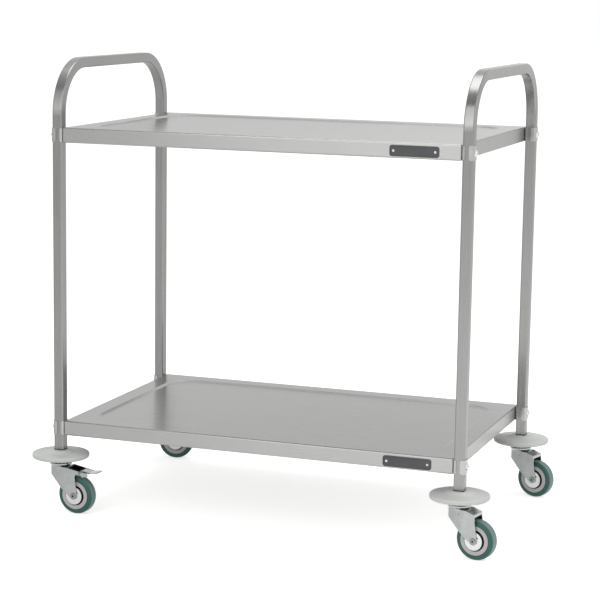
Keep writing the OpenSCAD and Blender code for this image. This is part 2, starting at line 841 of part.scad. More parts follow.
module tyre(c) {
    half = tyre_width / 2;
    round_at = [wheel_d / 2 - tyre_shoulder, half - tyre_shoulder];
    color("seagreen") at_axle(c) rotate_extrude($fn = 96) {
        translate([core_radius, -half]) square([round_at[0] - core_radius, 2 * half]);
        translate([core_radius, -round_at[1]]) square([tyre_depth, 2 * round_at[1]]);
        intersection() {
            for (side = [-1, 1]) translate([round_at[0], side * round_at[1]]) circle(tyre_shoulder);
            translate([core_radius, -half]) square([tyre_depth, 2 * half]);
        }
    }
}

// Plain bearing in the hub, and the dark dust ring in each recess of the core
module wheel_bearing(c) {
    color("dimgray") at_axle(c) {
        difference() {
            cylinder(h = 2 * hub_half, r = bearing_outer, center = true);
            cylinder(h = 2 * fork_width, r = bearing_inner, center = true);
        }
        for (side = [-1, 1]) translate([0, 0, side * (web_thickness + dust_ring) / 2]) {
            difference() {
                cylinder(h = dust_ring, r = recess_radius - dust_clearance, center = true);
                cylinder(h = 2 * dust_ring, d = hub_d, center = true);
            }
        }
    }
}

// Brakes

module brake_pin(c) {
    half = fork_width / 2;
    color("lightslategray") at_caster(c) translate([pivot_back, 0, pivot_z]) rotate([90, 0, 0]) {
        cylinder(h = 2 * half, d = pin_d, center = true);
        for (side = [-1, 1]) mirror([0, 0, side < 0 ? 1 : 0]) translate([0, 0, half]) {
            cylinder(h = pin_head, d1 = pin_d + 2 * pin_head, d2 = pin_d);
        }
    }
}

// Pedal about its pivot as X and Z: a tongue that turns up at the tip
module pedal_tongue() {
    top = barrel_radius;
    low = top - pedal_sheet;
    waist = pedal_reach / 2;
    turn = pedal_reach * 0.7;
    polygon([
        [0, top], [waist, top / 2], [turn, top / 2 + pedal_sheet / 2], [pedal_reach, pedal_lift],
        [pedal_reach + pedal_sheet / 3, pedal_lift - pedal_sheet],
        [turn + pedal_sheet / 3, top / 2 - pedal_sheet / 2], [waist, top / 2 - pedal_sheet], [0, low]
    ]);
}

module brake_pedal(c) {
    shoe_tip = pedal_sheet / 2;
    color("silver") at_caster(c) translate([pivot_back, 0, pivot_z]) rotate([90, 0, 0]) {
        difference() {
            union() {
                cylinder(h = 2 * barrel_half, r = barrel_radius, center = true);
                linear_extrude(pedal_width, center = true) pedal_tongue();
                rotate([0, 0, shoe_angle]) {
                    translate([0, -shoe_tip, -shoe_width / 2]) {
                        cube([shoe_reach - shoe_tip, pedal_sheet, shoe_width]);
                    }
                    translate([shoe_reach - shoe_tip, 0, 0]) {
                        cylinder(h = shoe_width, r = shoe_tip, center = true);
                    }
                }
            }
            cylinder(h = through, d = pin_d + 2 * pin_clearance, center = true);
        }
    }
}

end_frame(-1);  // end_frame_left
end_frame(1);  // end_frame_right
shelf(top_shelf_top);  // top_shelf
shelf(low_shelf_top);  // bottom_shelf
channel(top_shelf_top);  // top_channel
channel(low_shelf_top);  // bottom_channel
outer_saddles(top_shelf_top);  // top_outer_saddles
outer_saddles(low_shelf_top);  // bottom_outer_saddles
inner_saddles(top_shelf_top);  // top_inner_saddles
inner_saddles(low_shelf_top);  // bottom_inner_saddles
shelf_bolts(top_shelf_top);  // top_shelf_bolts
shelf_bolts(low_shelf_top);  // bottom_shelf_bolts
shelf_nuts(top_shelf_top);  // top_shelf_nuts
shelf_nuts(low_shelf_top);  // bottom_shelf_nuts
leg_plugs();
caster_stems();
swivel_cups();
swivel_balls();
buffer_disc("front_left");  // buffer_disc_front_left
buffer_disc("front_right");  // buffer_disc_front_right
buffer_disc("rear_left");  // buffer_disc_rear_left
buffer_disc("rear_right");  // buffer_disc_rear_right
fork("front_left");  // fork_front_left
fork("front_right");  // fork_front_right
fork("rear_left");  // fork_rear_left
fork("rear_right");  // fork_rear_right
axle("front_left");  // axle_front_left
axle("front_right");  // axle_front_right
axle("rear_left");  // axle_rear_left
axle("rear_right");  // axle_rear_right
axle_sleeve("front_left");  // axle_sleeve_front_left
axle_sleeve("front_right");  // axle_sleeve_front_right
axle_sleeve("rear_left");  // axle_sleeve_rear_left
axle_sleeve("rear_right");  // axle_sleeve_rear_right
thread_guards("front_left");  // thread_guards_front_left
thread_guards("front_right");  // thread_guards_front_right
thread_guards("rear_left");  // thread_guards_rear_left
thread_guards("rear_right");  // thread_guards_rear_right
wheel_core("front_left");  // wheel_core_front_left
wheel_core("front_right");  // wheel_core_front_right
wheel_core("rear_left");  // wheel_core_rear_left
wheel_core("rear_right");  // wheel_core_rear_right
tyre("front_left");  // tyre_front_left
tyre("front_right");  // tyre_front_right
tyre("rear_left");  // tyre_rear_left
tyre("rear_right");  // tyre_rear_right
wheel_bearing("front_left");  // wheel_bearing_front_left
wheel_bearing("front_right");  // wheel_bearing_front_right
wheel_bearing("rear_left");  // wheel_bearing_rear_left
wheel_bearing("rear_right");  // wheel_bearing_rear_right
brake_pin("front_left");  // brake_pin_front_left
brake_pin("rear_left");  // brake_pin_rear_left
brake_pedal("front_left");  // brake_pedal_front_left
brake_pedal("rear_left");  // brake_pedal_rear_left
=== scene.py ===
# %% [markdown]
# # A stainless serving trolley
#
# The trolley's real shapes come ready made: two end frames of square tube, two folded shelves
# and four casters. This script gives each of them the finish of the real thing, draws the four
# buffer discs with a finer edge, adds two bare nameplates, and sets up the floor, the light and
# the camera. Everything is in metres, with X along the trolley, Y from its front to its back
# and Z up from the floor.

# %% Load the trolley
import math

import bpy
import bmesh
from mathutils import Matrix, Vector


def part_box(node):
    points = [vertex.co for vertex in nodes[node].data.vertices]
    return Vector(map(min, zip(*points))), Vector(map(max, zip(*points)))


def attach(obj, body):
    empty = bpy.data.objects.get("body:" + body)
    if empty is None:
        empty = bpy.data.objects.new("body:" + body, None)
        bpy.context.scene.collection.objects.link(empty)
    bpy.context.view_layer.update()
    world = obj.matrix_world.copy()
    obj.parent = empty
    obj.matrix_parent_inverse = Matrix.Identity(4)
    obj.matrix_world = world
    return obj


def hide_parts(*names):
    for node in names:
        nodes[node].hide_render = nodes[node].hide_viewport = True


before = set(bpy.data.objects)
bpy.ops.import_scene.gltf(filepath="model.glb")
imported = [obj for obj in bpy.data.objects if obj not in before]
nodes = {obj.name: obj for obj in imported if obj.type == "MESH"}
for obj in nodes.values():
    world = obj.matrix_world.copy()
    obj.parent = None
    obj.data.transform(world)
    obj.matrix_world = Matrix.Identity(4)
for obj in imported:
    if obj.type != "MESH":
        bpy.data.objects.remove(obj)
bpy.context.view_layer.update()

# %% [markdown]
# Each leg stands over one caster, so most small pieces come in fours and are named after their
# corner. The width of the tube and the place of the legs are read from the tube itself rather
# than written down a second time.

# %% Name the corners
CORNERS = ("front_left", "front_right", "rear_left", "rear_right")
MM = 0.001


def every(*stems):
    """The pieces with these names, or of these kinds at each corner that has one."""
    found = []
    for stem in stems:
        at_corners = [f"{stem}_{corner}" for corner in CORNERS]
        found += [name for name in (stem, *at_corners) if name in nodes]
    return found


tube_low, tube_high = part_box("end_frame_right")
tube_width = tube_high.x - tube_low.x
leg_y = tube_high.y - tube_width / 2
print("tube width", round(tube_width / MM, 1), "mm; legs at y =", round(leg_y, 4))

# %% [markdown]
# The photograph was taken from the front, a little to the right and just above the handles,
# with a long lens. A long lens keeps the legs almost parallel, as they are in the photograph.
# Yaw turns the camera about the upright axis, pitch tips it down and roll leans it sideways.

# %% Set the camera
CAMERA_AT = Vector((1.3331, -3.7322, 1.0784))
CAMERA_YAW = math.radians(19.6103)
CAMERA_PITCH = math.radians(-9.3218)
CAMERA_ROLL = math.radians(0.84)
LENS_MM = 116.96
SENSOR_MM = 36

ahead = Vector((
    -math.sin(CAMERA_YAW) * math.cos(CAMERA_PITCH),
    math.cos(CAMERA_YAW) * math.cos(CAMERA_PITCH),
    math.sin(CAMERA_PITCH),
))
level = Vector((math.cos(CAMERA_YAW), math.sin(CAMERA_YAW), 0))
upright = level.cross(ahead)
right = level * math.cos(CAMERA_ROLL) + upright * math.sin(CAMERA_ROLL)
up = upright * math.cos(CAMERA_ROLL) - level * math.sin(CAMERA_ROLL)

lens = bpy.data.cameras.new("camera")
lens.lens = LENS_MM
lens.sensor_width = SENSOR_MM
camera = bpy.data.objects.new("camera", lens)
turn = Matrix((right, up, -ahead)).transposed().to_4x4()
camera.matrix_world = Matrix.Translation(CAMERA_AT) @ turn
bpy.context.scene.collection.objects.link(camera)
bpy.context.scene.camera = camera
print("camera is", round(CAMERA_AT.length, 2), "m from the middle of the floor")

# %% [markdown]
# Materials are built from shader nodes. One small function adds a node, sets it and wires it,
# and another turns a colour written as sRGB hex, as a paint shop would quote it, into the
# linear values that the renderer works in.

# %% Helpers for nodes


def linear(hex_colour):
    """An sRGB hex colour as linear red, green, blue and alpha."""
    parts = [int(hex_colour[i:i + 2], 16) / 255 for i in (1, 3, 5)]
    light = [p / 12.92 if p <= 0.04045 else ((p + 0.055) / 1.055) ** 2.4 for p in parts]
    return (*light, 1.0)


def wire(tree, source, node, name):
    """Wires a socket, or a node's first output, to an input of another node."""
    if isinstance(source, bpy.types.Node):
        source = source.outputs[0]
    tree.links.new(source, node.inputs[name])


def add(tree, kind, settings=None, inputs=None):
    """One node, its settings, and its inputs set to values or wired to sockets or nodes."""
    made = tree.nodes.new(kind)
    for name, value in (settings or {}).items():
        setattr(made, name, value)
    for name, value in (inputs or {}).items():
        if isinstance(value, (bpy.types.Node, bpy.types.NodeSocket)):
            wire(tree, value, made, name)
        else:
            made.inputs[name].default_value = value
    return made


print("half bright #808080 is", round(linear("#808080")[0], 3), "in linear light")

# %% [markdown]
# Every finish here has a dark and a light tone and a roughness that changes a little from
# place to place, because no real surface is the same all over. A pattern's value, from 0 to 1,
# steers both.

# %% Helpers for materials


def new_material(name):
    """An empty material and its shader: (material, tree, shader)."""
    made = bpy.data.materials.new(name)
    made.use_nodes = True
    tree = made.node_tree
    tree.nodes.clear()
    shader = add(tree, "ShaderNodeBsdfPrincipled")
    add(tree, "ShaderNodeOutputMaterial", inputs={"Surface": shader})
    return made, tree, shader


def colour_between(tree, shader, pattern, dark, light):
    """Colours the surface from dark to light as the pattern's value rises."""
    blend = add(tree, "ShaderNodeMix", {"data_type": "RGBA"}, {
        "Factor": pattern, "A": linear(dark), "B": linear(light)})
    wire(tree, blend.outputs[2], shader, "Base Color")


def roughness_about(tree, shader, pattern, roughness, spread):
    """Makes the surface shinier and duller about one roughness, by as much as 'spread' says."""
    rough = add(tree, "ShaderNodeMapRange", inputs={
        "Value": pattern, "To Min": roughness + spread[0], "To Max": roughness + spread[1]})
    wire(tree, rough, shader, "Roughness")


def give(material, names):
    """Puts one material on these pieces."""
    for name in names:
        piece = nodes[name]
        piece.data.materials.clear()
        piece.data.materials.append(material)
    print(material.name, "on pieces:", len(names))


# %% [markdown]
# Stainless sheet and tube for kitchens is type 304 with a ground finish: a belt drags fine
# straight scratches along the metal. Across the scratches a reflection smears out, along them
# it stays sharp. The shader's anisotropy does that smearing, along a direction that is square
# to both the scratches and the surface. The scratches themselves are finer than 0.2 mm, far
# below one pixel here, so they are drawn about 1.5 mm apart, just coarse enough to show. Broad
# patches, where the belt pressed harder or softer, keep a large face from looking too even.
# A picture of scratches would do as well, but it would have to be wrapped round every bend. A
# noise that is worked out from a point's own place needs no wrapping.

# %% Ground stainless steel
LINE_MM = 1.5
DRAWN_OUT = 0.02  # the pattern runs 50 times slower along the scratches than across them
PATCH_MM = 111.1
PATCH_SHARE = 0.5
DARKEST, LIGHTEST = 0.45, 1.05  # where scratches and patches together reach the two tones
SCRATCH_SHINE = (-0.02, 0.03)  # what the scratches take from and add to the roughness
SCRATCH_STRENGTH = 0.02
SCRATCH_DEPTH = 0.2 * MM


def ground_steel(name, colour, dark, roughness, scratches_at, anisotropy):
    """Ground steel; scratches_at(tree) gives the scratches' direction and the noise's place."""
    made, tree, shader = new_material(name)
    along, place = scratches_at(tree)
    coords = add(tree, "ShaderNodeTexCoord").outputs["Object"]
    scratches = add(tree, "ShaderNodeTexNoise", inputs={
        "Vector": place, "Scale": 1 / (LINE_MM * MM), "Detail": 2.0, "Roughness": 0.6})
    patches = add(tree, "ShaderNodeTexNoise", inputs={
        "Vector": coords, "Scale": 1 / (PATCH_MM * MM), "Detail": 3.0, "Roughness": 0.55})
    both = add(tree, "ShaderNodeMath", {"operation": "MULTIPLY_ADD"}, {
        0: patches, 1: PATCH_SHARE, 2: scratches})
    tone = add(tree, "ShaderNodeMapRange", inputs={
        "Value": both, "From Min": DARKEST, "From Max": LIGHTEST})
    colour_between(tree, shader, tone, dark, colour)
    roughness_about(tree, shader, scratches, roughness, SCRATCH_SHINE)
    bump = add(tree, "ShaderNodeBump", inputs={
        "Strength": SCRATCH_STRENGTH, "Distance": SCRATCH_DEPTH, "Height": scratches})
    wire(tree, bump, shader, "Normal")
    shader.inputs["Metallic"].default_value = 1.0
    shader.inputs["Anisotropic"].default_value = anisotropy
    facing = add(tree, "ShaderNodeNewGeometry").outputs["Normal"]
    across = add(tree, "ShaderNodeVectorMath", {"operation": "CROSS_PRODUCT"}, {
        0: along, 1: facing})
    wire(tree, across, shader, "Tangent")
    return made


# %% [markdown]
# A shelf is ground lengthways while the sheet is still flat. Folding the ends down turns their
# scratches upright, so on the end faces, which look along X, the noise is drawn out along Z.
# Two nodes tell an end face from the rest by the way it looks, which saves cutting the shelf
# apart for a second material. The direction leans a little out of X, because on an end face its
# cross product with the face's own direction would otherwise be nothing.

# %% Scratches on the shelves
SHEET_ALONG = (1, 0, 0.05)
END_FACE = 0.7  # how much of a face's direction lies along X, from 0 to 1


def sheet_scratches(tree):
    """Which way the scratches run on a shelf, and where a point lies among them."""
    coords = add(tree, "ShaderNodeTexCoord").outputs["Object"]
    facing = add(tree, "ShaderNodeSeparateXYZ", inputs={
        "Vector": add(tree, "ShaderNodeNewGeometry").outputs["Normal"]})
    sideways = add(tree, "ShaderNodeMath", {"operation": "ABSOLUTE"}, {0: facing.outputs["X"]})
    on_end = add(tree, "ShaderNodeMath", {"operation": "GREATER_THAN"}, {
        0: sideways, 1: END_FACE})
    factors = add(tree, "ShaderNodeMix", {"data_type": "VECTOR"}, {
        "Factor": on_end, 4: (DRAWN_OUT, 1, 1), 5: (1, 1, DRAWN_OUT)})
    place = add(tree, "ShaderNodeVectorMath", {"operation": "MULTIPLY"}, {
        0: coords, 1: factors.outputs[1]})
    return SHEET_ALONG, place


# Ground 304 sheet: a pale, slightly milky grey that smears what it mirrors across its length.
sheet_steel = ground_steel(
    "ground_stainless_sheet", "#aaaaa9", "#a3a3a2", 0.26, sheet_scratches, 0.85)
give(sheet_steel, every("top_shelf", "bottom_shelf", "top_channel", "bottom_channel"))

# %% [markdown]
# A tube is ground along its length before it is bent, so its scratches follow the bends. Seen
# from the side, 'out' and 'up' measure how far a point lies past the middle of the nearest bend.
# On a leg only 'out' counts and on the bar only 'up', and in a bend the scratches run square to
# the line from its middle. That one rule gives the direction all along the tube, without the
# map along the tube that a picture of scratches would need.

# %% Scratches on the bent tubes
BEND_RADIUS = 100 * MM
NEVER_NOTHING = 0.3 * MM  # a little of X, so that the direction always has some length
bend_y = leg_y - BEND_RADIUS
bend_z = tube_high.z - tube_width / 2 - BEND_RADIUS
print("bends turn about y =", round(bend_y, 4), "z =", round(bend_z, 4))


def tube_scratches(tree):
    """Which way the scratches run on a bent tube, and where a point lies among them."""
    at = add(tree, "ShaderNodeSeparateXYZ", inputs={
        "Vector": add(tree, "ShaderNodeTexCoord").outputs["Object"]}).outputs
    distance = add(tree, "ShaderNodeMath", {"operation": "ABSOLUTE"}, {0: at["Y"]})
    past = []
    for reach, bend in ((distance, bend_y), (at["Z"], bend_z)):
        beyond = add(tree, "ShaderNodeMath", {"operation": "SUBTRACT"}, {0: reach, 1: bend})
        past.append(add(tree, "ShaderNodeMath", {"operation": "MAXIMUM"}, {0: beyond, 1: 0.0}))
    out, up = past
    side = add(tree, "ShaderNodeMath", {"operation": "SIGN"}, {0: at["Y"]})
    along = add(tree, "ShaderNodeCombineXYZ", inputs={
        "X": NEVER_NOTHING,
        "Y": add(tree, "ShaderNodeMath", {"operation": "MULTIPLY"}, {0: up, 1: -1.0}),
        "Z": add(tree, "ShaderNodeMath", {"operation": "MULTIPLY"}, {0: out, 1: side})})
    from_middle = add(tree, "ShaderNodeVectorMath", {"operation": "LENGTH"}, {
        0: add(tree, "ShaderNodeCombineXYZ", inputs={"Y": out, "Z": up})})
    down_tube = add(tree, "ShaderNodeMath", {"operation": "SUBTRACT"}, {0: distance, 1: at["Z"]})
    lengthways = add(tree, "ShaderNodeMath", {"operation": "MULTIPLY"}, {
        0: down_tube, 1: DRAWN_OUT})
    place = add(tree, "ShaderNodeCombineXYZ", inputs={
        "X": at["X"], "Y": from_middle.outputs["Value"], "Z": lengthways})
    return along, place


# Ground 304 tube, coloured a shade darker than the sheet as painted shade, so that the legs stand
# out from the shelves.
tube_steel = ground_steel(
    "ground_stainless_tube", "#969695", "#8b8b8a", 0.27, tube_scratches, 0.8)
give(tube_steel, every("end_frame_left", "end_frame_right"))

# %% [markdown]
# Saddles, bolts, forks, guards and axles are small pressings and turned pieces, buffed or
# plated with bright zinc. That is smoother than ground stainless and has no direction of its
# own. It varies only in faint clouds, where it was buffed more or plated thicker. One even metal
# would look like foil, and a cloudy noise in its tone and roughness is enough to mend that.

# %% Bright steel
BRIGHT_PATCH_MM = 16.67
BRIGHT_SHINE = (-0.06, 0.08)


def bright_steel(name, colour, dark, roughness):
    """Smooth steel, buffed or plated, with faint clouds."""
    made, tree, shader = new_material(name)
    coords = add(tree, "ShaderNodeTexCoord").outputs["Object"]
    patches = add(tree, "ShaderNodeTexNoise", inputs={
        "Vector": coords, "Scale": 1 / (BRIGHT_PATCH_MM * MM), "Detail": 4.0, "Roughness": 0.6})
    colour_between(tree, shader, patches, dark, colour)
    roughness_about(tree, shader, patches, roughness, BRIGHT_SHINE)
    shader.inputs["Metallic"].default_value = 1.0
    return made


# Buffed stainless pressings: a soft mirror that stands out a little from the ground legs.
saddle_steel = bright_steel("polished_stainless_saddle", "#b4b4b3", "#9f9f9e", 0.24)
# Polished bolts, nuts and bearing balls: the brightest metal, with small sharp highlights.
bolt_steel = bright_steel("bright_bolt_steel", "#d8d8d8", "#b8b8b8", 0.18)
# Zinc-plated pressings: nearly a mirror and a touch blue, so their bends turn dark and light.
fork_steel = bright_steel("zinc_plated_pressing", "#b6b8b8", "#979a9b", 0.14)
# The thread guards' zinc is fresh and pale, which parts them from the forks beside them.
guard_steel = bright_steel("bright_zinc_guard", "#d9dbdb", "#c6c8c9", 0.22)
# Turned and plated pins, dulled to a plain grey by a film of grease from the hubs.
axle_steel = bright_steel("grey_axle_steel", "#9a9b9b", "#7f8081", 0.25)
give(saddle_steel, every("top_outer_saddles", "bottom_outer_saddles",
                         "top_inner_saddles", "bottom_inner_saddles"))
give(bolt_steel, every("top_shelf_bolts", "bottom_shelf_bolts",
                       "top_shelf_nuts", "bottom_shelf_nuts", "swivel_balls"))
give(axle_steel, every("axle", "brake_pin"))
give(guard_steel, every("thread_guards"))
give(fork_steel, every("fork", "swivel_cups", "caster_stems", "axle_sleeve", "brake_pedal"))

# %% [markdown]
# The buffer discs, wheel cores, leg plugs and bearings are injection moulded. Their steel
# moulds are spark-eroded, which prints a fine grain on the plastic and takes the shine off. The
# real grain is about 0.1 mm, too fine to show here, so it is drawn about 1 mm wide. It is a
# bump, which only tips the light: as a real shape it would need millions of faces.

# %% Moulded plastic
MOULDED_PATCH_MM = 33.33
GRAIN_SHINE = (-0.05, 0.05)
GRAIN_STRENGTH = 0.3


def moulded(name, colour, dark, roughness, grain_mm, depth_mm):
    """Plastic or rubber with the fine grain of its mould."""
    made, tree, shader = new_material(name)
    coords = add(tree, "ShaderNodeTexCoord").outputs["Object"]
    grain = add(tree, "ShaderNodeTexNoise", inputs={
        "Vector": coords, "Scale": 1 / (grain_mm * MM), "Detail": 2.0})
    patches = add(tree, "ShaderNodeTexNoise", inputs={
        "Vector": coords, "Scale": 1 / (MOULDED_PATCH_MM * MM), "Detail": 3.0})
    colour_between(tree, shader, patches, dark, colour)
    roughness_about(tree, shader, grain, roughness, GRAIN_SHINE)
    bump = add(tree, "ShaderNodeBump", inputs={
        "Strength": GRAIN_STRENGTH, "Distance": depth_mm * MM, "Height": grain})
    wire(tree, bump, shader, "Normal")
    return made


# Polypropylene: a pale, waxy grey that spreads its highlights wide.
disc_plastic = moulded("grey_polypropylene", "#d3d5d2", "#c8cac7", 0.5, 1.2, 0.08)
# Black nylon: deep and dull, so the tube ends read as closed. The black line it makes at each
# leg's foot is partly a real plug and partly painted shade.
plug_plastic = moulded("black_nylon_plug", "#2a2a2b", "#1d1d1e", 0.45, 1.0, 0.05)
# Light nylon: a warmer grey than the discs, a little shinier.
core_plastic = moulded("light_grey_nylon", "#c9c5c6", "#bdb9ba", 0.45, 1.0, 0.05)
# Acetal: the densest and smoothest of the four, black with a faint gleam.
bearing_plastic = moulded("black_acetal_bearing", "#232323", "#191919", 0.4, 1.0, 0.03)
give(plug_plastic, every("leg_plugs"))
give(core_plastic, every("wheel_core"))
give(bearing_plastic, every("wheel_bearing"))

# %% [markdown]
# The tyre is one piece of dark green thermoplastic rubber. Its tread is coloured greyer than its
# sides: a painted sheen. A second ring could be laid round the tread for that, but its edges
# would show. Here each tyre has its own finish instead, which measures how far a point is from
# the middle of that wheel and turns grey from there.

# %% Tyres with a painted sheen
PAINTED_SHEEN_FROM = 38.4 * MM
PAINTED_SHEEN_FULL = 39.2 * MM
PAINTED_SHEEN_COLOUR = "#6f8683"


def middle(name):
    """The middle of a piece's box, at rest."""
    low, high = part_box(name)
    return (low + high) / 2


def shader_of(material):
    return material.node_tree.nodes["Principled BSDF"]


def tyre_with_painted_sheen(name, centre):
    """Green rubber, moulded as the plastics are, with a painted sheen greying its tread."""
    made = moulded(name, "#2c6058", "#244f49", 0.4, 1.0, 0.08)
    tree, shader = made.node_tree, shader_of(made)
    coords = add(tree, "ShaderNodeTexCoord").outputs["Object"]
    reach = add(tree, "ShaderNodeVectorMath", {"operation": "DISTANCE"}, {0: coords, 1: centre})
    # The grey round the tread is a painted sheen.
    painted_sheen = add(tree, "ShaderNodeMapRange", inputs={
        "Value": reach.outputs["Value"], "From Min": PAINTED_SHEEN_FROM, "From Max": PAINTED_SHEEN_FULL})
    green = shader.inputs["Base Color"].links[0].from_socket
    blend = add(tree, "ShaderNodeMix", {"data_type": "RGBA"}, {
        "Factor": painted_sheen, "A": green, "B": linear(PAINTED_SHEEN_COLOUR)})
    wire(tree, blend.outputs[2], shader, "Base Color")
    return made


for name in every("tyre"):
    give(tyre_with_painted_sheen("green_rubber_" + name, middle(name)), [name])

# %% [markdown]
# The discs are moulded too: a puck with a round edge and a low crown, with a boss under the
# leg, cored underneath. It could be cut from a cylinder with modifiers. One outline that is
# turned about the stem, as on a lathe, gives cleaner faces, and each radius stays a plain number.

# %% Outline of a buffer disc
RIM_HEIGHT = 9 * MM
EDGE_RADIUS = 3.2 * MM
TOP_CROWN = 2 * MM
BOSS_RADIUS = 32 * MM
LAND_RADIUS = 16.5 * MM
BORE_RADIUS = 5 * MM
CORED_FROM = 28 * MM
CORED_TO = 51 * MM
CORED_DEPTH = 3 * MM
ARC_STEPS = 8
TOP_STEPS = 16


def disc_outline(radius, height):
    """From the cored ring out round the rim, over the top and down the bore to the ring."""
    points = [(CORED_TO, 0.0)]
    for turned_at, start in ((EDGE_RADIUS, -90), (RIM_HEIGHT - EDGE_RADIUS, 0)):
        for step in range(ARC_STEPS + 1):
            angle = math.radians(start + step * 90 / ARC_STEPS)
            points.append((radius - EDGE_RADIUS * (1 - math.cos(angle)),
                           turned_at + EDGE_RADIUS * math.sin(angle)))
    shoulder = radius - EDGE_RADIUS
    boss = height - RIM_HEIGHT - TOP_CROWN
    for step in range(1, TOP_STEPS + 1):
        reach = shoulder + (LAND_RADIUS - shoulder) * step / TOP_STEPS
        crown = TOP_CROWN * (1 - ((reach - LAND_RADIUS) / (shoulder - LAND_RADIUS)) ** 2)
        share = max(0.0, (BOSS_RADIUS - reach) / (BOSS_RADIUS - LAND_RADIUS))
        points.append((reach, RIM_HEIGHT + crown + boss * share * share * (3 - 2 * share)))
    return points + [(BORE_RADIUS, height), (BORE_RADIUS, 0.0), (CORED_FROM, 0.0)]


disc_low, disc_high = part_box("buffer_disc_front_left")
disc_radius, disc_height = (disc_high.x - disc_low.x) / 2, disc_high.z - disc_low.z
print("a disc's outline has", len(disc_outline(disc_radius, disc_height)), "points")

# %% [markdown]
# Turning the outline gives everything but the cored ring underneath. That ring is filled in
# sector by sector: most sectors are sunk by the depth of the coring, and each twelfth stays
# level as one of eight ribs. The little walls between them make each disc one closed skin.

# %% Skin of a buffer disc
SECTORS = 96
RIB_EVERY = 12


def join(mesh, outlines):
    """A band of faces from each closed outline to the next."""
    for one, two in zip(outlines, outlines[1:]):
        for i in range(len(one)):
            j = (i + 1) % len(one)
            mesh.faces.new((one[i], one[j], two[j], two[i]))


def circle(mesh, radius, z):
    """A ring of points about the stem."""
    angles = [2 * math.pi * i / SECTORS for i in range(SECTORS)]
    return [mesh.verts.new((radius * math.cos(a), radius * math.sin(a), z)) for a in angles]


def disc_skin(radius, height):
    """The whole disc, standing on z = 0 about the stem."""
    mesh = bmesh.new()
    circles = [circle(mesh, reach, z) for reach, z in disc_outline(radius, height)]
    join(mesh, circles)
    outer, inner = circles[0], circles[-1]
    outer_top = circle(mesh, CORED_TO, CORED_DEPTH)
    inner_top = circle(mesh, CORED_FROM, CORED_DEPTH)
    for i in range(SECTORS):
        j = (i + 1) % SECTORS
        if i % RIB_EVERY == 0:
            mesh.faces.new((outer[i], outer[j], inner[j], inner[i]))
            for k in (i, j):
                mesh.faces.new((outer[k], inner[k], inner_top[k], outer_top[k]))
        else:
            mesh.faces.new((outer_top[i], outer_top[j], inner_top[j], inner_top[i]))
            mesh.faces.new((outer[i], outer[j], outer_top[j], outer_top[i]))
            mesh.faces.new((inner[i], inner[j], inner_top[j], inner_top[i]))
    return mesh


# %% [markdown]
# Each disc takes the place of the solid that came with the trolley. It is set in the middle of
# that solid's box, with its foot at the same height, and rides on the frame.

# %% Buffer discs
SMOOTH_BELOW = math.radians(35)  # an edge that turns more than this stays sharp


def finish_piece(name, mesh, at, material):
    """Turns a bmesh into a piece that rides on the frame."""
    bmesh.ops.recalc_face_normals(mesh, faces=mesh.faces)
    data = bpy.data.meshes.new(name)
    mesh.to_mesh(data)
    mesh.free()
    data.materials.append(material)
    piece = bpy.data.objects.new(name, data)
    piece.location = at
    bpy.context.scene.collection.objects.link(piece)
    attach(piece, "frame")
    return piece


for corner in CORNERS:
    low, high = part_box(f"buffer_disc_{corner}")
    mesh = disc_skin((high.x - low.x) / 2, high.z - low.z)
    at = Vector(((low.x + high.x) / 2, (low.y + high.y) / 2, low.z))
    piece = finish_piece(f"moulded_disc_{corner}", mesh, at, disc_plastic)
    piece.data.shade_smooth()
    piece.data.set_sharp_from_angle(angle=SMOOTH_BELOW)
    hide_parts(f"buffer_disc_{corner}")
    print(piece.name, "has", len(piece.data.polygons), "faces")

# %% [markdown]
# Two dark nameplates are riveted to the front edges of the shelves. They are left bare: a cast
# plate with a fine grain inside a raised border. A bevelled box would do from afar, but it has
# no border. Each plate is therefore a few outlines of the same rounded shape, stacked from the
# shelf outwards and joined into one closed skin.

# %% Bare nameplates
PLATE_LENGTH = 96 * MM
PLATE_HEIGHT = 21 * MM
PLATE_RADIUS = 5 * MM
PLATE_PROUD = 2.0 * MM
PLATE_X = 0.317
PLATE_LOWERED = 1 * MM  # below the middle of the shelf's edge
# How far each outline lies inside the plate's edge and in front of the shelf, in mm: sunk a
# little into the shelf, up the side, over a bevel, across the border and down to the field.
PLATE_STEPS = ((0, -0.3), (0, 1.5), (0.5, 2.0), (1.6, 2.0), (2.0, 1.4))


def rounded(mesh, half_long, half_high, radius, out):
    """One rounded outline on the shelf's front, 'out' metres proud of it."""
    made = []
    for turn_x, turn_z, start in ((1, 1, 0), (-1, 1, 90), (-1, -1, 180), (1, -1, 270)):
        for step in range(ARC_STEPS + 1):
            angle = math.radians(start + step * 90 / ARC_STEPS)
            x = turn_x * (half_long - radius) + radius * math.cos(angle)
            z = turn_z * (half_high - radius) + radius * math.sin(angle)
            made.append(mesh.verts.new((x, -out, z)))
    return made


def closed_skin(mesh, outlines):
    """Joins outline to outline and closes both ends."""
    join(mesh, outlines)
    mesh.faces.new(list(reversed(outlines[0])))
    mesh.faces.new(outlines[-1])


def plate_middle(shelf):
    low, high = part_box(shelf)
    return Vector((PLATE_X, low.y, (low.z + high.z) / 2 - PLATE_LOWERED))


# Cast zinc under a thin dark lacquer: half metal to the eye, dull, with the grain of its mould.
plate_metal = moulded("dark_cast_nameplate", "#5a5b5d", "#3e3f41", 0.42, 1.0, 0.12)
shader_of(plate_metal).inputs["Metallic"].default_value = 0.6
for shelf in ("top_shelf", "bottom_shelf"):
    plate = bmesh.new()
    closed_skin(plate, [
        rounded(plate, PLATE_LENGTH / 2 - inset * MM, PLATE_HEIGHT / 2 - inset * MM,
                PLATE_RADIUS - inset * MM, out * MM) for inset, out in PLATE_STEPS])
    piece = finish_piece(shelf + "_nameplate", plate, plate_middle(shelf), plate_metal)
    print(piece.name, "is", round(piece.dimensions.x / MM, 1), "mm long")

# %% [markdown]
# Two domed rivets hold each plate. A rounded outline whose corners are as wide as itself is a
# circle, so a dome is the plate's own outline again, smaller and further out at each step.

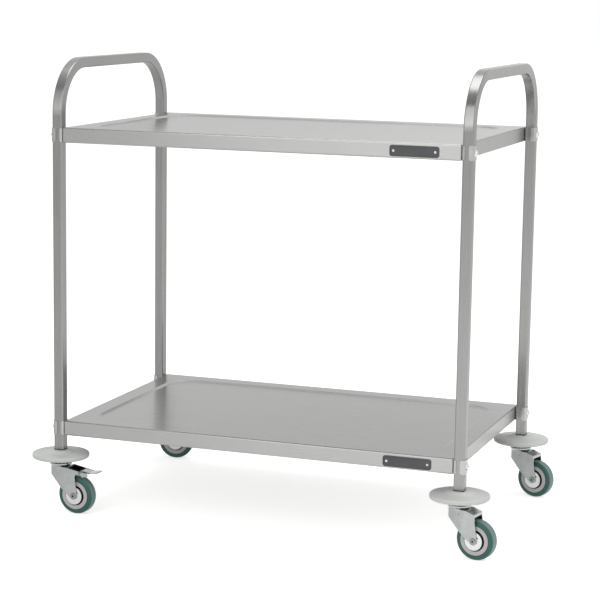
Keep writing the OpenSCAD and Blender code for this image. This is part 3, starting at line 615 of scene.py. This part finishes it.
# %% Rivets
RIVET_SPACING = 81 * MM
RIVET_RADIUS = 3.0 * MM
RIVET_SUNK = 0.8 * MM
RIVET_HEIGHT = 0.75  # of its radius
RIVET_STEPS = 5
RIVET_TOP = 85  # degrees round the dome, just short of its very top
ALL_CORNER = 0.999  # just under the whole half width, so that no two points meet


def rivet(mesh, x):
    """One dome, x metres to the right of the plate's middle."""
    outlines = []
    for step in range(RIVET_STEPS + 1):
        angle = math.radians(step * RIVET_TOP / RIVET_STEPS)
        radius = RIVET_RADIUS * math.cos(angle)
        out = PLATE_PROUD - RIVET_SUNK + RIVET_RADIUS * RIVET_HEIGHT * math.sin(angle)
        outline = rounded(mesh, radius, radius, radius * ALL_CORNER, out)
        for vertex in outline:
            vertex.co.x += x
        outlines.append(outline)
    closed_skin(mesh, outlines)


for shelf in ("top_shelf", "bottom_shelf"):
    rivets = bmesh.new()
    for side in (-1, 1):
        rivet(rivets, side * RIVET_SPACING / 2)
    piece = finish_piece(shelf + "_nameplate_rivets", rivets, plate_middle(shelf), bolt_steel)
    piece.data.shade_smooth()
    print(piece.name, "are", round(2 * RIVET_RADIUS / MM, 1), "mm wide")

# %% [markdown]
# The floor is one pale sheet that runs on past the picture. In a studio it would be lit until
# it is white, but that light would fall on the trolley too. This one lights up a little for the
# camera and for reflections only, so that it meets the white background and keeps the shadow.
# To every ray but the camera's it grows darker towards the left, a painted shade. A metal shows
# little but what it mirrors, so that is what tells its left faces from its right ones.

# %% Floor
FLOOR_COLOUR = "#ececea"
FLOOR_LIFT = 0.62
FLOOR_SIZE = 60.0
BRIGHTER_TOWARDS = (1, -0.36, 0)
SWEEP_REACH = 0.6  # metres to either side of the middle
PAINTED_SHADE_LEVELS = (0.68, 1.0)


def seen_directly(tree):
    """1 for rays from the camera, off gloss or through glass, and 0 for the rest."""
    path = add(tree, "ShaderNodeLightPath").outputs
    two = add(tree, "ShaderNodeMath", {"operation": "ADD"}, {
        0: path["Is Camera Ray"], 1: path["Is Glossy Ray"]})
    return add(tree, "ShaderNodeMath", {"operation": "ADD", "use_clamp": True}, {
        0: two, 1: path["Is Transmission Ray"]})


floor_paint, tree, shader = new_material("pale_floor")
rightwards = add(tree, "ShaderNodeVectorMath", {"operation": "DOT_PRODUCT"}, {
    0: add(tree, "ShaderNodeNewGeometry").outputs["Position"], 1: BRIGHTER_TOWARDS})
# Painted shade: the floor darkens towards the left for every ray but the camera's.
painted_floor_shade = add(tree, "ShaderNodeMapRange", inputs={
    "Value": rightwards.outputs["Value"], "From Min": -SWEEP_REACH, "From Max": SWEEP_REACH,
    "To Min": PAINTED_SHADE_LEVELS[0], "To Max": PAINTED_SHADE_LEVELS[1]})
shown = add(tree, "ShaderNodeMix", {"data_type": "FLOAT"}, {
    "Factor": add(tree, "ShaderNodeLightPath").outputs["Is Camera Ray"], "A": painted_floor_shade, "B": 1.0})
colour_between(tree, shader, shown, "#000000", FLOOR_COLOUR)
shader.inputs["Roughness"].default_value = 0.9
shader.inputs["Emission Color"].default_value = (1, 1, 1, 1)
seen = add(tree, "ShaderNodeMath", {"operation": "MULTIPLY"}, {0: seen_directly(tree), 1: shown})
lift = add(tree, "ShaderNodeMath", {"operation": "MULTIPLY"}, {0: seen, 1: FLOOR_LIFT})
wire(tree, lift, shader, "Emission Strength")

half = FLOOR_SIZE / 2
floor_corners = [(-half, -half, 0), (half, -half, 0), (half, half, 0), (-half, half, 0)]
floor_mesh = bpy.data.meshes.new("floor")
floor_mesh.from_pydata(floor_corners, [], [(0, 1, 2, 3)])
floor_mesh.materials.append(floor_paint)
floor = bpy.data.objects.new("floor", floor_mesh)
bpy.context.scene.collection.objects.link(floor)
print("floor is", FLOOR_SIZE, "m wide and glows at", FLOOR_LIFT, "where it is seen")

# %% [markdown]
# The world lights the trolley evenly from all round at AMBIENT, and is plain white wherever
# the camera sees it. What the metal mirrors of it is white behind the trolley. In front, where
# the room is, it is brightest low down and falls off upwards. Bends and rounded edges mirror it
# from low to high, and that gives them their light and dark.

# %% White background
AMBIENT = 0.6
ROOM_LOW, ROOM_HIGH = 1.15, 0.4
ROOM_FROM, ROOM_TO = 0.1, 0.6  # the part of straight up at which the room is low and high
BEHIND_FROM, BEHIND_TO = -0.7, 0.1  # the part of straight back, from room to white paper

world = bpy.data.worlds.new("studio")
bpy.context.scene.world = world
world.use_nodes = True
tree = world.node_tree
tree.nodes.clear()
towards = add(tree, "ShaderNodeSeparateXYZ", inputs={
    "Vector": add(tree, "ShaderNodeTexCoord").outputs["Generated"]}).outputs
room = add(tree, "ShaderNodeMapRange", inputs={
    "Value": towards["Z"], "From Min": ROOM_FROM, "From Max": ROOM_TO,
    "To Min": ROOM_LOW, "To Max": ROOM_HIGH})
behind = add(tree, "ShaderNodeMapRange", inputs={
    "Value": towards["Y"], "From Min": BEHIND_FROM, "From Max": BEHIND_TO})
mirrored = add(tree, "ShaderNodeMix", {"data_type": "FLOAT"}, {
    "Factor": behind, "A": room, "B": 1.0})
shown = add(tree, "ShaderNodeMath", {"operation": "MAXIMUM"}, {
    0: mirrored, 1: add(tree, "ShaderNodeLightPath").outputs["Is Camera Ray"]})
above = add(tree, "ShaderNodeMath", {"operation": "SUBTRACT"}, {0: shown, 1: AMBIENT})
strength = add(tree, "ShaderNodeMath", {"operation": "MULTIPLY_ADD"}, {
    0: seen_directly(tree), 1: above, 2: AMBIENT})
sky = add(tree, "ShaderNodeBackground", inputs={"Color": (1, 1, 1, 1), "Strength": strength})
add(tree, "ShaderNodeOutputWorld", inputs={"Surface": sky})
print("the room's reflection falls from", ROOM_LOW, "to", ROOM_HIGH)

# %% [markdown]
# Three soft boxes, as in a product studio: a large one in front to the left, one above, and a
# weaker one to the right. The larger a lamp, the softer the edge of its shadow and the wider
# its streak in the metal.

# %% Soft boxes
LAMP_TARGET = Vector((0, 0, 0.5))


def soft_box(name, at, size, watts):
    """A square lamp of this size in metres, turned to the middle of the trolley."""
    lamp = bpy.data.lights.new(name, "AREA")
    lamp.shape = "SQUARE"
    lamp.size = size
    lamp.energy = watts
    holder = bpy.data.objects.new(name, lamp)
    holder.location = at
    holder.rotation_euler = (LAMP_TARGET - Vector(at)).to_track_quat("-Z", "Y").to_euler()
    bpy.context.scene.collection.objects.link(holder)
    print(name, "is", size, "m wide, with", watts, "W")


soft_box("front_soft_box", (-0.4, -3.6, 2.4), 2.8, 42)
soft_box("top_soft_box", (0.2, 0.3, 3.6), 2.2, 40)
soft_box("side_soft_box", (3.4, -0.6, 2.0), 2.2, 16)

# %% [markdown]
# With the Standard view a colour comes out as it was written. Last, the box round the dressed
# trolley is kept beside the box that it came with, to show that its size hasn't changed.

# %% Finish
bpy.context.scene.view_settings.view_transform = "Standard"
